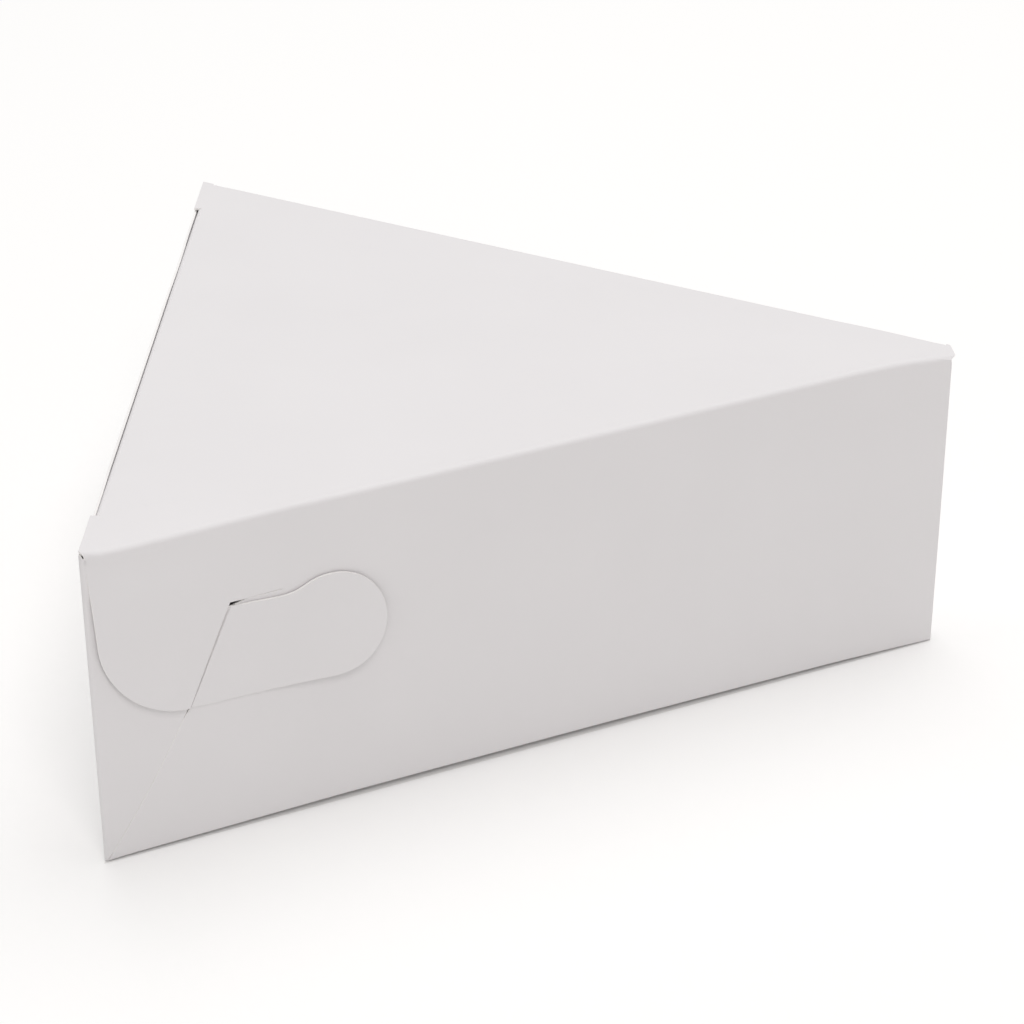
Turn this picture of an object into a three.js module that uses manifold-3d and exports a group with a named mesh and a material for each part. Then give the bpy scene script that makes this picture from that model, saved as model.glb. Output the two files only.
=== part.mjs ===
// A triangular cake box, folded and hooked together from one sheet of white board.
// Millimetres, +Z up. The blunt tip points along +X, and the lid's fold runs along the -Y side.
import * as THREE from "three";
import { mergeVertices } from "three/addons/utils/BufferGeometryUtils.js";
import { TessellateModifier } from "three/addons/modifiers/TessellateModifier.js";
import Module from "manifold-3d";

const wasm = await Module();
wasm.setup();

// Board, folds and clearances
const board = 0.45;
const fold_radius = 1.0;
const corner_radius = 1.2;
const seam_gap = 0.2;
const layer_gap = 0.2;
const hinge_gap = 0.2;
const lid_gap = 0.3;
const weld = 0.03;

// How finely curves are cut, and how close points are merged
const corner_steps = 5;
const fold_steps = 4;
const seam_steps = 6;
const flap_steps = 10;
const lobe_steps = 14;
const tab_steps = 16;
const lobe_facet = 4.5;
const lobe_splits = 12;
const merge_distance = 1e-4;

// The box
const side_length = 166;
const back_width = 159;
const tip_width = 5.2;
const box_height = 60;

// The lid and its two flaps
const lid_tip_overhang = 0.6;
const lid_tip_setback = 0.5;
const ear_length = 14.3;
const ear_slot = 0.4;
const tuck_clearance = 0.45;
const tuck_depth = 18;
const tuck_corner = 9;
const side_flap_depth = 14;
const side_flap_start = 3;
const side_flap_end = 0.8;
const side_flap_slant = 0.38;

// The hook that locks each back corner: points are (along the wall, up from the base)
const seam_foot = new THREE.Vector2(0.6, 0.8);
const seam_bend = new THREE.Vector2(9.3, 11.6);
const slit_foot = new THREE.Vector2(16.8, 26.4);
const slit_head = new THREE.Vector2(25.05, 44.3);
const slit_riser = 0.6;
const relief_height = 0.7;
const relief_rise = 0.2;
const lobe_edge_top = 1.1;
const lobe_edge_foot = 1.85;
const lobe_radius = 16.2;
const lobe_centre_height = 42.9;
const lobe_ramp_start = 26;
const lobe_ramp_end = 38;
const lobe_top_ramp = 7;
const lobe_top_lift = 0.1;
const tab_head_radius = 9.75;
const tab_head_reach = 43;
const tab_foot_height = 26.35;
const tab_neck = new THREE.Vector2(34, 43.7);
const inner_flap_top = 2;
const inner_flap_drop = 2.5;

// The glued lap inside the tip
const lap_width = 12;
const lap_margin = 3;

// Sizes that follow from the ones above
const half_back = back_width / 2;
const half_tip = tip_width / 2;
const side_angle = Math.asin((half_back - half_tip) / side_length);
const slope = Math.tan(side_angle);
const box_depth = side_length * Math.cos(side_angle);
const layer = board + layer_gap;
const rear_inset = 2 * layer;
const rear_half_back = half_back - rear_inset / Math.cos(side_angle);
const lid_underside = box_height - board;
const hinge_height = box_height - fold_radius;
const near_wall_top = hinge_height - hinge_gap;
const wall_top = lid_underside - lid_gap;
const lid_end = box_depth + lid_tip_overhang * Math.cos(side_angle);
const tuck_face = board + tuck_clearance;
const rear_tip_x = lid_end - lid_tip_setback;
const ear_end = half_back - ear_length;

// Cutting shapes run past the box by a little, or by a long way
const beyond = 3;
const far_beyond = 2 * side_length;

const along_near = new THREE.Vector3(Math.cos(side_angle), Math.sin(side_angle), 0);
const out_near = new THREE.Vector3(Math.sin(side_angle), -Math.cos(side_angle), 0);
const up = new THREE.Vector3(0, 0, 1);

// Turns a closed geometry into a solid that can be joined and cut.
function solidOf(geometry) {
  const bare = geometry.index ? geometry.toNonIndexed() : geometry.clone();
  bare.deleteAttribute("normal");
  bare.deleteAttribute("uv");
  const merged = mergeVertices(bare, merge_distance);
  return new wasm.Manifold(
    new wasm.Mesh({
      numProp: 3,
      vertProperties: new Float32Array(merged.attributes.position.array),
      triVerts: new Uint32Array(merged.index.array),
    }),
  );
}

// Turns a finished solid into a named mesh.
function meshOf(name, solid, material) {
  const { vertProperties, triVerts } = solid.getMesh();
  const geometry = new THREE.BufferGeometry();
  geometry.setAttribute("position", new THREE.BufferAttribute(vertProperties, 3));
  geometry.setIndex(new THREE.BufferAttribute(triVerts, 1));
  geometry.computeVertexNormals();
  const mesh = new THREE.Mesh(geometry, material);
  mesh.name = name;
  return mesh;
}

// An upright prism of a plan shape between two heights.
function prism(shape, bottom, top) {
  const geometry = new THREE.ExtrudeGeometry(shape, {
    depth: top - bottom,
    bevelEnabled: false,
    curveSegments: corner_steps,
  });
  geometry.translate(0, 0, bottom);
  return solidOf(geometry);
}

// Places a panel drawn as (along the wall, up, outwards) on the near wall of a box with this half width.
function onWall(geometry, half_width) {
  const frame = new THREE.Matrix4().makeBasis(along_near, up, out_near);
  frame.setPosition(0, -half_width, 0);
  return solidOf(geometry.applyMatrix4(frame));
}

// A flat piece of board on that wall, from one distance off its outer face to another.
function wallPiece(shape, half_width, from, to) {
  const geometry = new THREE.ExtrudeGeometry(shape, {
    depth: to - from,
    bevelEnabled: false,
    curveSegments: tab_steps,
  });
  geometry.translate(0, 0, from);
  return onWall(geometry, half_width);
}

function polygon(points) {
  return new THREE.Shape(points.map(([x, y]) => new THREE.Vector2(x, y)));
}

function mirrored(solid) {
  return solid.mirror([0, 1, 0]);
}

// The corners of the walls' plan, moved inwards from the outer faces by a distance.
function planCorners(inset) {
  const side_shift = inset / Math.cos(side_angle);
  const near = half_back - side_shift;
  const rear = rear_half_back - side_shift;
  const back = inset;
  const tip = box_depth - inset;
  return [
    [back, slope * back - near],
    [tip, slope * tip - near],
    [tip, rear - slope * tip],
    [back, rear - slope * back],
  ];
}

// A plan shape whose corners are rounded by arcs.
function roundedPlan(corners, radius) {
  const shape = new THREE.Shape();
  corners.forEach((corner, i) => {
    const here = new THREE.Vector2(...corner);
    const before = new THREE.Vector2(...corners.at(i - 1)).sub(here).normalize();
    const after = new THREE.Vector2(...corners[(i + 1) % corners.length]).sub(here).normalize();
    const half_angle = Math.acos(before.dot(after)) / 2;
    const bisector = before.clone().add(after).normalize();
    const centre = here.clone().addScaledVector(bisector, radius / Math.sin(half_angle));
    const sweep = Math.PI - 2 * half_angle;
    const middle = Math.atan2(-bisector.y, -bisector.x);
    shape.absarc(centre.x, centre.y, radius, middle - sweep / 2, middle + sweep / 2, false);
  });
  shape.closePath();
  return shape;
}

// A tall solid with the walls' plan and a rounded bottom edge.
function foldedBlock(inset, edge_radius, plan_radius, bottom) {
  const shape = roundedPlan(planCorners(inset + edge_radius), plan_radius - edge_radius);
  const geometry = new THREE.ExtrudeGeometry(shape, {
    depth: box_height,
    bevelThickness: edge_radius,
    bevelSize: edge_radius,
    bevelSegments: fold_steps,
    curveSegments: corner_steps,
  });
  geometry.translate(0, 0, bottom + edge_radius);
  return solidOf(geometry);
}

// The base and the upright walls as one folded sheet, before its corner hooks are cut.
function foldedWalls() {
  const outer = foldedBlock(0, fold_radius, corner_radius, 0);
  const inner = foldedBlock(board, fold_radius - board, corner_radius - board, board);
  const around = polygon([
    [-beyond, -back_width],
    [side_length, -back_width],
    [side_length, back_width],
    [-beyond, back_width],
  ]);
  const above = prism(around, wall_top, far_beyond);
  const under_fold = wallPiece(
    polygon([
      [-far_beyond, near_wall_top],
      [far_beyond, near_wall_top],
      [far_beyond, far_beyond],
      [-far_beyond, far_beyond],
    ]),
    half_back,
    -fold_radius - lid_gap,
    beyond,
  );
  return outer.subtract(inner).subtract(above).subtract(under_fold);
}

// The narrow cut between two points of a wall, through the board, a little past both points.
function seam(from, to, half_width) {
  const reach = to.clone().sub(from).normalize().multiplyScalar(seam_gap / 2);
  const side = reach.clone().rotateAround(new THREE.Vector2(), Math.PI / 2);
  const start = from.clone().sub(reach);
  const end = to.clone().add(reach);
  const shape = new THREE.Shape([
    start.clone().sub(side),
    end.clone().sub(side),
    end.clone().add(side),
    start.clone().add(side),
  ]);
  return wallPiece(shape, half_width, -board - layer_gap, layer_gap);
}

// The seam from the base up to the hook, bowed, then on beside the slit.
function seamCut(half_width) {
  const curve = new THREE.QuadraticBezierCurve(seam_foot, seam_bend, slit_foot);
  const points = curve.getPoints(seam_steps);
  const shifted_foot = slit_foot.clone().add(new THREE.Vector2(slit_riser, 0));
  const shifted_head = slit_head.clone().add(new THREE.Vector2(slit_riser, relief_height));
  points.push(shifted_foot, shifted_head);
  return points.slice(1).map((point, i) => seam(points[i], point, half_width));
}

// How far the lobe stands off the wall's plane at a point.
function lobeLift(along, height, top) {
  const across = THREE.MathUtils.smoothstep(lobe_ramp_end - along, 0, lobe_ramp_end - lobe_ramp_start);
  const down = THREE.MathUtils.smoothstep(top - height, 0, lobe_top_ramp);
  return across * THREE.MathUtils.lerp(lobe_top_lift, layer, down);
}

// The lobe of the side wall that laps over the corner flap.
function lobe(half_width, top) {
  const slit_side = seam_gap / 2;
  const shape = new THREE.Shape();
  shape.moveTo(lobe_ramp_end, top - weld);
  shape.lineTo(lobe_edge_top, top - weld);
  shape.lineTo(lobe_edge_foot, lobe_centre_height);
  const centre = lobe_edge_foot + lobe_radius;
  const foot_angle = Math.acos((slit_foot.x - centre) / lobe_radius);
  shape.absarc(centre, lobe_centre_height, lobe_radius, Math.PI, 2 * Math.PI - foot_angle, false);
  shape.lineTo(slit_foot.x - slit_side, slit_foot.y + slit_side);
  shape.lineTo(slit_head.x - slit_side, slit_head.y + relief_height);
  shape.lineTo(lobe_ramp_end, slit_head.y + relief_height + relief_rise);
  shape.closePath();
  const depth = board - 2 * weld;
  const plate = new THREE.ExtrudeGeometry(shape, { depth, bevelEnabled: false, curveSegments: lobe_steps });
  const fine = new TessellateModifier(lobe_facet, lobe_splits).modify(plate);
  const position = fine.attributes.position;
  for (let i = 0; i < position.count; i += 1) {
    const lift = lobeLift(position.getX(i), position.getY(i), top);
    position.setZ(i, position.getZ(i) - board + weld + lift);
  }
  return onWall(fine, half_width);
}

// The part of the wall's own plane that gives way to the lifted lobe.
function lobeWindow(half_width, top) {
  const shape = polygon([
    [slit_head.x, slit_head.y],
    [slit_head.x + slit_riser, slit_head.y],
    [lobe_ramp_end - seam_gap, slit_head.y + relief_rise],
    [lobe_ramp_end - seam_gap, top + beyond],
    [inner_flap_top, top + beyond],
    [inner_flap_top, top - inner_flap_drop],
  ]);
  return wallPiece(shape, half_width, -board - layer_gap, layer_gap);
}

// The tab of the corner flap, which comes out through the slit and lies on the wall.
function hookTab(half_width) {
  const head_height = tab_foot_height + tab_head_radius;
  const shape = new THREE.Shape();
  shape.moveTo(slit_foot.x, tab_foot_height);
  shape.lineTo(tab_head_reach, tab_foot_height);
  shape.absarc(tab_head_reach, head_height, tab_head_radius, -Math.PI / 2, Math.PI / 2, false);
  const shoulder = (tab_head_reach + tab_neck.x) / 2;
  shape.bezierCurveTo(shoulder, head_height + tab_head_radius, shoulder, tab_neck.y, tab_neck.x, tab_neck.y);
  shape.lineTo(slit_head.x, slit_head.y);
  shape.closePath();
  const flat = wallPiece(shape, half_width, layer_gap, layer);
  const riser_width = slit_riser - seam_gap;
  const riser_foot = slit_foot.y + slit_riser;
  const riser_head = slit_head.y - relief_height;
  const lean = (slit_head.x - slit_foot.x) / (slit_head.y - slit_foot.y);
  const foot_x = slit_foot.x + lean * slit_riser + weld;
  const head_x = slit_head.x - lean * relief_height + weld;
  const riser_shape = polygon([
    [foot_x, riser_foot],
    [foot_x + riser_width, riser_foot],
    [head_x + riser_width, riser_head],
    [head_x, riser_head],
  ]);
  const riser = wallPiece(riser_shape, half_width, weld - board, layer - weld);
  return flat.add(riser);
}

// Cuts and adds one corner hook on the near wall of walls that have this half width.
function hooked(walls, half_width, top, flip) {
  const place = (solid) => (flip ? mirrored(solid) : solid);
  let result = walls.subtract(place(lobeWindow(half_width, top)));
  for (const cut of seamCut(half_width)) {
    result = result.subtract(place(cut));
  }
  return result.add(place(lobe(half_width, top))).add(place(hookTab(half_width)));
}

// The lap of the tip's fold, glued inside the rear wall.
function tipLap() {
  const rear_length = (box_depth - board) / Math.cos(side_angle);
  const shape = polygon([
    [rear_length - lap_width, lap_margin],
    [rear_length - fold_radius, board / 2],
    [rear_length - fold_radius, wall_top - lap_margin / 2],
    [rear_length - lap_width, wall_top - lap_margin],
  ]);
  return mirrored(wallPiece(shape, rear_half_back, -2 * board, -board + seam_gap));
}

function tray() {
  let solid = foldedWalls();
  solid = hooked(solid, half_back, near_wall_top, false);
  solid = hooked(solid, rear_half_back, wall_top, true);
  return solid.add(tipLap());
}

// The lid's outline in plan: two ears at the back, between them the fold of the tuck flap.
function lidPlan() {
  const near_tip = [lid_end, slope * lid_end - half_back];
  const rear_tip = [rear_tip_x, half_back - slope * rear_tip_x];
  return polygon([
    [0, -half_back],
    near_tip,
    rear_tip,
    [0, half_back],
    [0, ear_end],
    [tuck_face, ear_end],
    [tuck_face, -ear_end],
    [0, -ear_end],
  ]);
}

// The flat panel with the rounded fold along its near side, cut to the lid's outline.
function lid() {
  const section = new THREE.Shape();
  section.moveTo(0, hinge_height);
  section.absarc(-fold_radius, hinge_height, fold_radius, 0, Math.PI / 2, false);
  section.lineTo(-far_beyond, box_height);
  section.lineTo(-far_beyond, lid_underside);
  section.lineTo(-fold_radius, lid_underside);
  section.absarc(-fold_radius, hinge_height, fold_radius - board, Math.PI / 2, 0, true);
  section.closePath();
  const geometry = new THREE.ExtrudeGeometry(section, {
    depth: 2 * far_beyond,
    bevelEnabled: false,
    curveSegments: fold_steps,
  });
  geometry.translate(0, 0, -far_beyond);
  const frame = new THREE.Matrix4().makeBasis(out_near, up, along_near.clone().negate());
  frame.setPosition(0, -half_back, 0);
  const bent = solidOf(geometry.applyMatrix4(frame));
  return bent.intersect(prism(lidPlan(), hinge_height - board, box_height + board));
}

// The flap on the lid's back edge, tucked down behind the back wall.
function tuckFlap() {
  const half_width = ear_end - ear_slot;
  const top = lid_underside - hinge_gap;
  const bottom = top - tuck_depth;
  const shape = new THREE.Shape();
  shape.moveTo(half_width, top);
  shape.lineTo(-half_width, top);
  shape.lineTo(-half_width + ear_slot, bottom + tuck_corner);
  shape.quadraticCurveTo(-half_width + ear_slot, bottom, tuck_corner - half_width, bottom);
  shape.lineTo(half_width - tuck_corner, bottom);
  shape.quadraticCurveTo(half_width - ear_slot, bottom, half_width - ear_slot, bottom + tuck_corner);
  shape.closePath();
  const geometry = new THREE.ExtrudeGeometry(shape, {
    depth: board,
    bevelEnabled: false,
    curveSegments: flap_steps,
  });
  const across = new THREE.Vector3(0, 1, 0);
  const inwards = new THREE.Vector3(1, 0, 0);
  const frame = new THREE.Matrix4().makeBasis(across, up, inwards);
  frame.setPosition(tuck_face, 0, 0);
  return solidOf(geometry.applyMatrix4(frame));
}

// The flap on the lid's rear edge, which hangs outside the rear wall.
function sideFlap() {
  const end = rear_tip_x / Math.cos(side_angle) - side_flap_end;
  const top = lid_underside - hinge_gap;
  const bottom = top - side_flap_depth;
  const slant = side_flap_slant * side_flap_depth;
  const shape = polygon([
    [side_flap_start, top],
    [side_flap_start + slant, bottom],
    [end - slant, bottom],
    [end, top],
  ]);
  return mirrored(wallPiece(shape, half_back, -board, 0));
}

const white_board = new THREE.MeshStandardMaterial({ color: 0xf0eff0, roughness: 0.62, metalness: 0 });

const cake_box = new THREE.Group();
cake_box.position.set(-lid_end / 2, 0, 0);
cake_box.add(meshOf("tray", tray(), white_board));
cake_box.add(meshOf("lid", lid(), white_board));
cake_box.add(meshOf("tuck_flap", tuckFlap(), white_board));
cake_box.add(meshOf("side_flap", sideFlap(), white_board));

export default cake_box;
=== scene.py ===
import math

import bmesh
import bpy
import numpy as np
from mathutils import Matrix, Vector
from mathutils.geometry import delaunay_2d_cdt


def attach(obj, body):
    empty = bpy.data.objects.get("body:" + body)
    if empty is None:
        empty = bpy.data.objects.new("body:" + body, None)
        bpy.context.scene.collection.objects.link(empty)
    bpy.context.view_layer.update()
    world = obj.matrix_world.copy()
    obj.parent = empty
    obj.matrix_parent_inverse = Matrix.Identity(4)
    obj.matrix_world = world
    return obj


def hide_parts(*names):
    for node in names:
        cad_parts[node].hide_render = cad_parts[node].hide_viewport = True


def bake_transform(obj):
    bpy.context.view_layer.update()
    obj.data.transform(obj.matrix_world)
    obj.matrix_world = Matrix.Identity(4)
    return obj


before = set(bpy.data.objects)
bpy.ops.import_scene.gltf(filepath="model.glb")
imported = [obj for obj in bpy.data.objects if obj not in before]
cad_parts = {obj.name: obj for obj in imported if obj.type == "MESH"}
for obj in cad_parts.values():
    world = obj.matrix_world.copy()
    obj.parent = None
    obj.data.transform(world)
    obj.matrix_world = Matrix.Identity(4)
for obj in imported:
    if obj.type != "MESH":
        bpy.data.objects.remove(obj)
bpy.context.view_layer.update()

# Lengths are in millimetres until a mesh is made
MM = 0.001

# The board's thickness, the chamfer on its cut edges and the outer radii of its folds
BOARD = 0.45
EDGE = 0.05
FOLD_RADIUS = 1.0
BASE_RADIUS = 0.46
CORNER_RADIUS = 0.55
TUCK_RADIUS = 0.8
SIDE_FLAP_RADIUS = 0.6

# How finely the sheets are divided
ARC_STEPS = 12
CURVE_STEPS = 12
SEAM_STEPS = 14
LOBE_STEPS = 26
TAB_HEAD_STEPS = 30
PANEL_STEP = 3.5
LID_STEP = PANEL_STEP * 1.4
BASE_STEP = PANEL_STEP * 2
HOOK_STEP = 1.1
HOOK_GRID_STEP = HOOK_STEP * 1.6
ROW_RATIO = 0.87
FOOT_STEP = 0.13
COLUMN_STEP = 0.8
COLUMN_COUNT = 6

# How far the inner points of a sheet stay from its outline, from rounded corners and from folds
PANEL_CLEARANCE = 0.5
BASE_CLEARANCE = 1.5
LID_CLEARANCE = 1.2
FLAP_CLEARANCE = 1.0
CORNER_CLEARANCE = 0.05
LID_FOLD_CLEARANCE = 0.06
FLAP_FOLD_CLEARANCE = 0.04
CORNER_MARGIN = 0.5
FOLD_MARGIN = 2.5
WALL_GRID_FOOT = 2.0
LOBE_GRID_END = 38.0
LOBE_GRID_FOOT = 24.0
TAB_GRID_END = 54.0
COLUMN_TOP_MARGIN = 0.3

# Tolerances: for values worked out alike, for points rounded on the way, and past the end of an edge
SAME = 1e-6
ROUNDED = 1e-4
SLACK = 0.01
SHORTEST = 1e-12
LEVEL = 1e-9
TRIANGLES_INSIDE = 1
TRIANGLE_TOLERANCE = 1e-5
MERGE_DISTANCE = 0.002
SHARP_ANGLE = math.radians(32)

# The box, in its own frame: back face at x = 0, near corner at y = -79.5
SIDE_LENGTH = 166.0
HALF_BACK = 79.5
HALF_TIP = 2.6
HEIGHT = 60.0
SIDE_ANGLE = math.asin((HALF_BACK - HALF_TIP) / SIDE_LENGTH)
SLOPE = math.tan(SIDE_ANGLE)
DEPTH = SIDE_LENGTH * math.cos(SIDE_ANGLE)
REAR_INSET = 1.3
REAR_HALF_BACK = HALF_BACK - REAR_INSET / math.cos(SIDE_ANGLE)
WALL_TOP = 59.25
NEAR_SPLIT = 57.6
FOLD_FOOT = HEIGHT - FOLD_RADIUS

# The lid and its flaps
LID_OVERHANG = 0.6
LID_END = DEPTH + LID_OVERHANG * math.cos(SIDE_ANGLE)
LID_TIP_SETBACK = 0.5
LID_REACH = 150.0
NEAR_EAR_END = -66.6
FAR_EAR_END = 64.9
EAR_SLOT = 0.2
TUCK_FACE = 0.9
TUCK_FAR_SHIFT = -0.1
TUCK_NEAR_SHIFT = -0.12
TUCK_SETTLE = 0.5
TUCK_FOOT = 41.35
TUCK_CORNER = 9.0
TUCK_TAPER = 0.4
SIDE_FLAP_START = 3.0
SIDE_FLAP_FOOT = 45.35
SIDE_FLAP_SLANT = 5.3
SIDE_FLAP_MARGIN = 0.8
SIDE_FLAP_SLOT = 0.4

# The hook at each back corner, as (along the wall, up)
SEAM_FOOT = (0.6, 0.0)
SEAM_BEND = (9.3, 11.6)
SLIT_FOOT = (16.8, 26.4)
SLIT_HEAD = (25.05, 44.3)
SLIT_LEAN = (SLIT_HEAD[0] - SLIT_FOOT[0]) / (SLIT_HEAD[1] - SLIT_FOOT[1])
SLIT_RISER = 0.28
SEAM_GAP = 0.035
MITRE_DROP = 0.1
RELIEF_UPPER = ((25.05, 44.78), (27.6, 44.72), (34.5, 44.8))
RELIEF_LOWER = ((34.55, 44.74), (28.2, 44.62), (26.9, 44.3), (25.7, 43.95))
RELIEF_MIDDLE = ((25.05, 44.35), (27.9, 44.67), (34.5, 44.77))
LOBE_TOP_EDGE = 1.1
LOBE_FOOT_EDGE = 1.85
LOBE_RADIUS = 16.2
LOBE_CENTRE = 42.9
TAB_FOOT = 26.35
TAB_HEAD_RADIUS = 9.75
TAB_HEAD_REACH = 43.0
TAB_NECK = (34.0, 43.7)
FLAP_SHOULDER = ((0.02, -0.25), (-1.2, -0.2))
FLAP_TOP = 58.8
FLAP_TOP_END = 2.0
FLAP_INNER_TOP = 56.3
SLIT_ROWS = (0.01, 0.12, 0.26)
SLIT_ROWS_FOOT = TAB_FOOT + 0.3
SLIT_ROWS_HEAD = SLIT_HEAD[1] - 0.6

# How far the lobes and tabs stand off the walls, and how they rise from them
LOBE_LIFT = 1.3
REAR_LOBE_LIFT = 0.62
LOBE_SLIT_LIFT = 0.5
LOBE_SLIT_SPAN = 14.0
LOBE_TOP_RAMP = 9.0
LOBE_CORNER_SLOPE = 0.48
LOBE_EDGE_SHARE = 0.7
LOBE_EDGE_SPAN = 6.0
LOBE_FADE_MARGIN = 3.0
LOBE_FOOT_MARGIN = 0.5
TAB_LIFT = 0.5
TAB_RISE = 0.2
TAB_END_LIFT = 0.1
TAB_LOW_LIFT = 1.35
TAB_LIFT_TOP = 49.0
REAR_TAB_END_LIFT = 0.2

# The lap at the tip
LAP_WIDTH = 12.0
LAP_MARGIN = 3.0
LAP_START = 0.3
LAP_GAP = 0.02

# How far the panels are from flat: points are (along the near fold or across the back, distance)
BASE_RISE = ((0.0, 0.0), (3.0, 0.25), (45.0, 0.9), (95.0, 0.97), (145.0, 0.6), (160.0, 0.2), (165.0, 0.0))
FOLD_DROOP = ((0.6, 0.0), (4.0, 0.85), (12.0, 0.75), (24.0, 0.35), (38.0, 0.0))
FOLD_LEAN = ((45.0, 0.0), (100.0, 0.9), (150.0, 2.0), (158.0, 1.6), (166.0, 0.0))
BACK_LEAN = (
    (-73.0, 0.0), (-67.0, 0.2), (-58.0, 0.18), (-50.0, 0.07),
    (22.0, 0.06), (38.0, 0.18), (47.0, 0.1), (52.0, 0.0),
)
PROFILE_BLUR = 2.5
PROFILE_SAMPLES = 9
WALL_BOW = 0.3
LID_SAG = 0.25

# Where those bends begin or end, and how far they reach in from the near wall or the back
RISE_TOP = 25.0
RISE_REACH = 40.0
DROOP_FOOT = 52.0
DROOP_RAMP = 6.0
DROOP_REACH = 6.0
LEAN_FOOT = 20.0
LEAN_REACH = 30.0
BOW_REACH = 4.0
BACK_LEAN_END = 3.0
BACK_LEAN_RAMP = 2.0
SAG_START = 1.0
SAG_RAMP = 0.5
TUCK_SHIFT_START = 0.4
TUCK_SHIFT_REACH = 8.0

# The board's surface: noises are (scale per metre, detail), and depths are in metres
COAT = (0.822, 0.801, 0.805)
COAT_ROUGHNESS = 0.58
FLAP_ROUGHNESS = 0.6
COAT_BUMP = 0.35
COAT_MOTTLING = 0.008
FIBRE = (0.94, 0.92, 0.905)
FIBRE_ROUGHNESS = 0.8
FIBRE_BUMP = 0.8
FIBRE_MOTTLING = 0.03
BOARD_SPECULAR = 0.3
MOTTLING_NOISE = (45.0, 5.0)
MOTTLING_STOPS = (0.3, 0.7)
GRAIN_NOISE = (1400.0, 3.0)
GRAIN_DEPTH = 0.00003
WAVE_NOISE = (90.0, 2.0)
WAVE_DEPTH = 0.00012

# The floor and the light, in metres
FLOOR_SIZE = 12.0
FLOOR_DROP = 0.0001
FLOOR_COLOUR = (0.91, 0.903, 0.893)
FLOOR_ROUGHNESS = 0.9
FLOOR_GLOW = 0.125
WHITE = (1.0, 1.0, 1.0)
WORLD_LIGHT = 0.52
KEY_PLACE = (0.05, 0.4, 1.45)
KEY_AIM = (0.0, 0.0, 0.0)
KEY_SIZE = 1.3
KEY_POWER = 9.5
FILL_PLACE = (0.25, -1.0, 1.3)
FILL_AIM = (0.0, 0.0, 0.03)
FILL_SIZE = 0.5
FILL_POWER = 4.5
FILL_COLOUR = (1.0, 0.96, 0.955)

# The camera, solved from the photograph's corners
FOCAL_PIXELS = 2806.07
IMAGE_PIXELS = 1024
SENSOR = 36.0
CLIP_START = 0.01
CAMERA_PLACE = (81.239, -466.410, 278.221)
CAMERA_YAW = math.radians(1.7767)
CAMERA_PITCH = math.radians(28.4429)
CAMERA_ROLL = math.radians(-0.16986)

# Directions in plan: along the near wall from the back, and from it into the box
ALONG = Vector((math.cos(SIDE_ANGLE), math.sin(SIDE_ANGLE)))
INWARD = Vector((-math.sin(SIDE_ANGLE), math.cos(SIDE_ANGLE)))
NEAR_CORNER = Vector((0.0, -HALF_BACK))

# The model's frame has its origin this far in front of the back face
CENTRE = LID_END / 2

# Where a wall meets the base, as a height on the wall laid out flat
FOOT = BASE_RADIUS - math.pi / 2 * BASE_RADIUS

# The lid's sheet starts with a strip of the near wall, and the fold follows
STRIP = FOLD_FOOT - NEAR_SPLIT
ARC_LENGTH = math.pi / 2 * FOLD_RADIUS


# The walls' plan

def rounded_loop(corners, radius):
    """The plan outline as (start, length, kind, data), counted along the outline from the first corner."""
    count = len(corners)
    pieces = []
    tangents = []
    for i, corner in enumerate(corners):
        before = (corners[i - 1] - corner).normalized()
        after = (corners[(i + 1) % count] - corner).normalized()
        half = math.acos(before.dot(after)) / 2
        reach = radius / math.tan(half)
        centre = corner + (before + after).normalized() * radius / math.sin(half)
        tangents.append((reach, centre, math.pi - 2 * half))
    along = tangents[0][0]
    for i, corner in enumerate(corners):
        following = corners[(i + 1) % count]
        direction = (following - corner).normalized()
        reach = tangents[i][0]
        next_reach, next_centre, sweep = tangents[(i + 1) % count]
        length = (following - corner).length - reach - next_reach
        pieces.append((along, length, "line", (corner + direction * reach, direction)))
        along += length
        pieces.append((along, radius * sweep, "arc", (next_centre, direction)))
        along += radius * sweep
    return pieces


PLAN_CORNERS = [
    Vector((0.0, -HALF_BACK)),
    Vector((DEPTH, SLOPE * DEPTH - HALF_BACK)),
    Vector((DEPTH, REAR_HALF_BACK - SLOPE * DEPTH)),
    Vector((0.0, REAR_HALF_BACK)),
]
LOOP = rounded_loop(PLAN_CORNERS, CORNER_RADIUS)
LOOP_START = LOOP[0][0]
LOOP_LENGTH = LOOP[-1][0] + LOOP[-1][1] - LOOP_START
TIP_START = LOOP[1][0]
REAR_LINE = LOOP[4]
BACK_LINE = LOOP[6]
REAR_REACH = CORNER_RADIUS / math.tan((math.pi / 2 - SIDE_ANGLE) / 2)
REAR_CORNER = REAR_LINE[0] + REAR_LINE[1] + REAR_REACH


def onto_loop(along):
    """The same place on the outline, as a distance within one turn of it."""
    return (along - LOOP_START) % LOOP_LENGTH + LOOP_START


def plan_point(along):
    """The outline's point and outward normal at a distance along it."""
    along = onto_loop(along)
    for start, length, kind, data in LOOP:
        if along <= start + length:
            break
    origin, direction = data
    outward = Vector((direction.y, -direction.x))
    if kind == "line":
        return origin + direction * (along - start), outward
    turn = Matrix.Rotation((along - start) / CORNER_RADIUS, 2)
    outward = turn @ outward
    return origin + outward * CORNER_RADIUS, outward


def wall_place(lift):
    """Maps (along the outline, up) to a point of the walls at a depth under their outer face."""
    def place(along, height, depth):
        point, outward = plan_point(along)
        angle = math.pi / 2
        level = height
        inset = 0.0
        if height < BASE_RADIUS:
            angle = (height - FOOT) / BASE_RADIUS
            inset = BASE_RADIUS * (1 - math.sin(angle))
            level = BASE_RADIUS * (1 - math.cos(angle))
        stand = lift(along, height) - depth
        flat = point + outward * (stand * math.sin(angle) - inset)
        return Vector((flat.x, flat.y, level - stand * math.cos(angle)))
    return place


# Points of flat outlines

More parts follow.
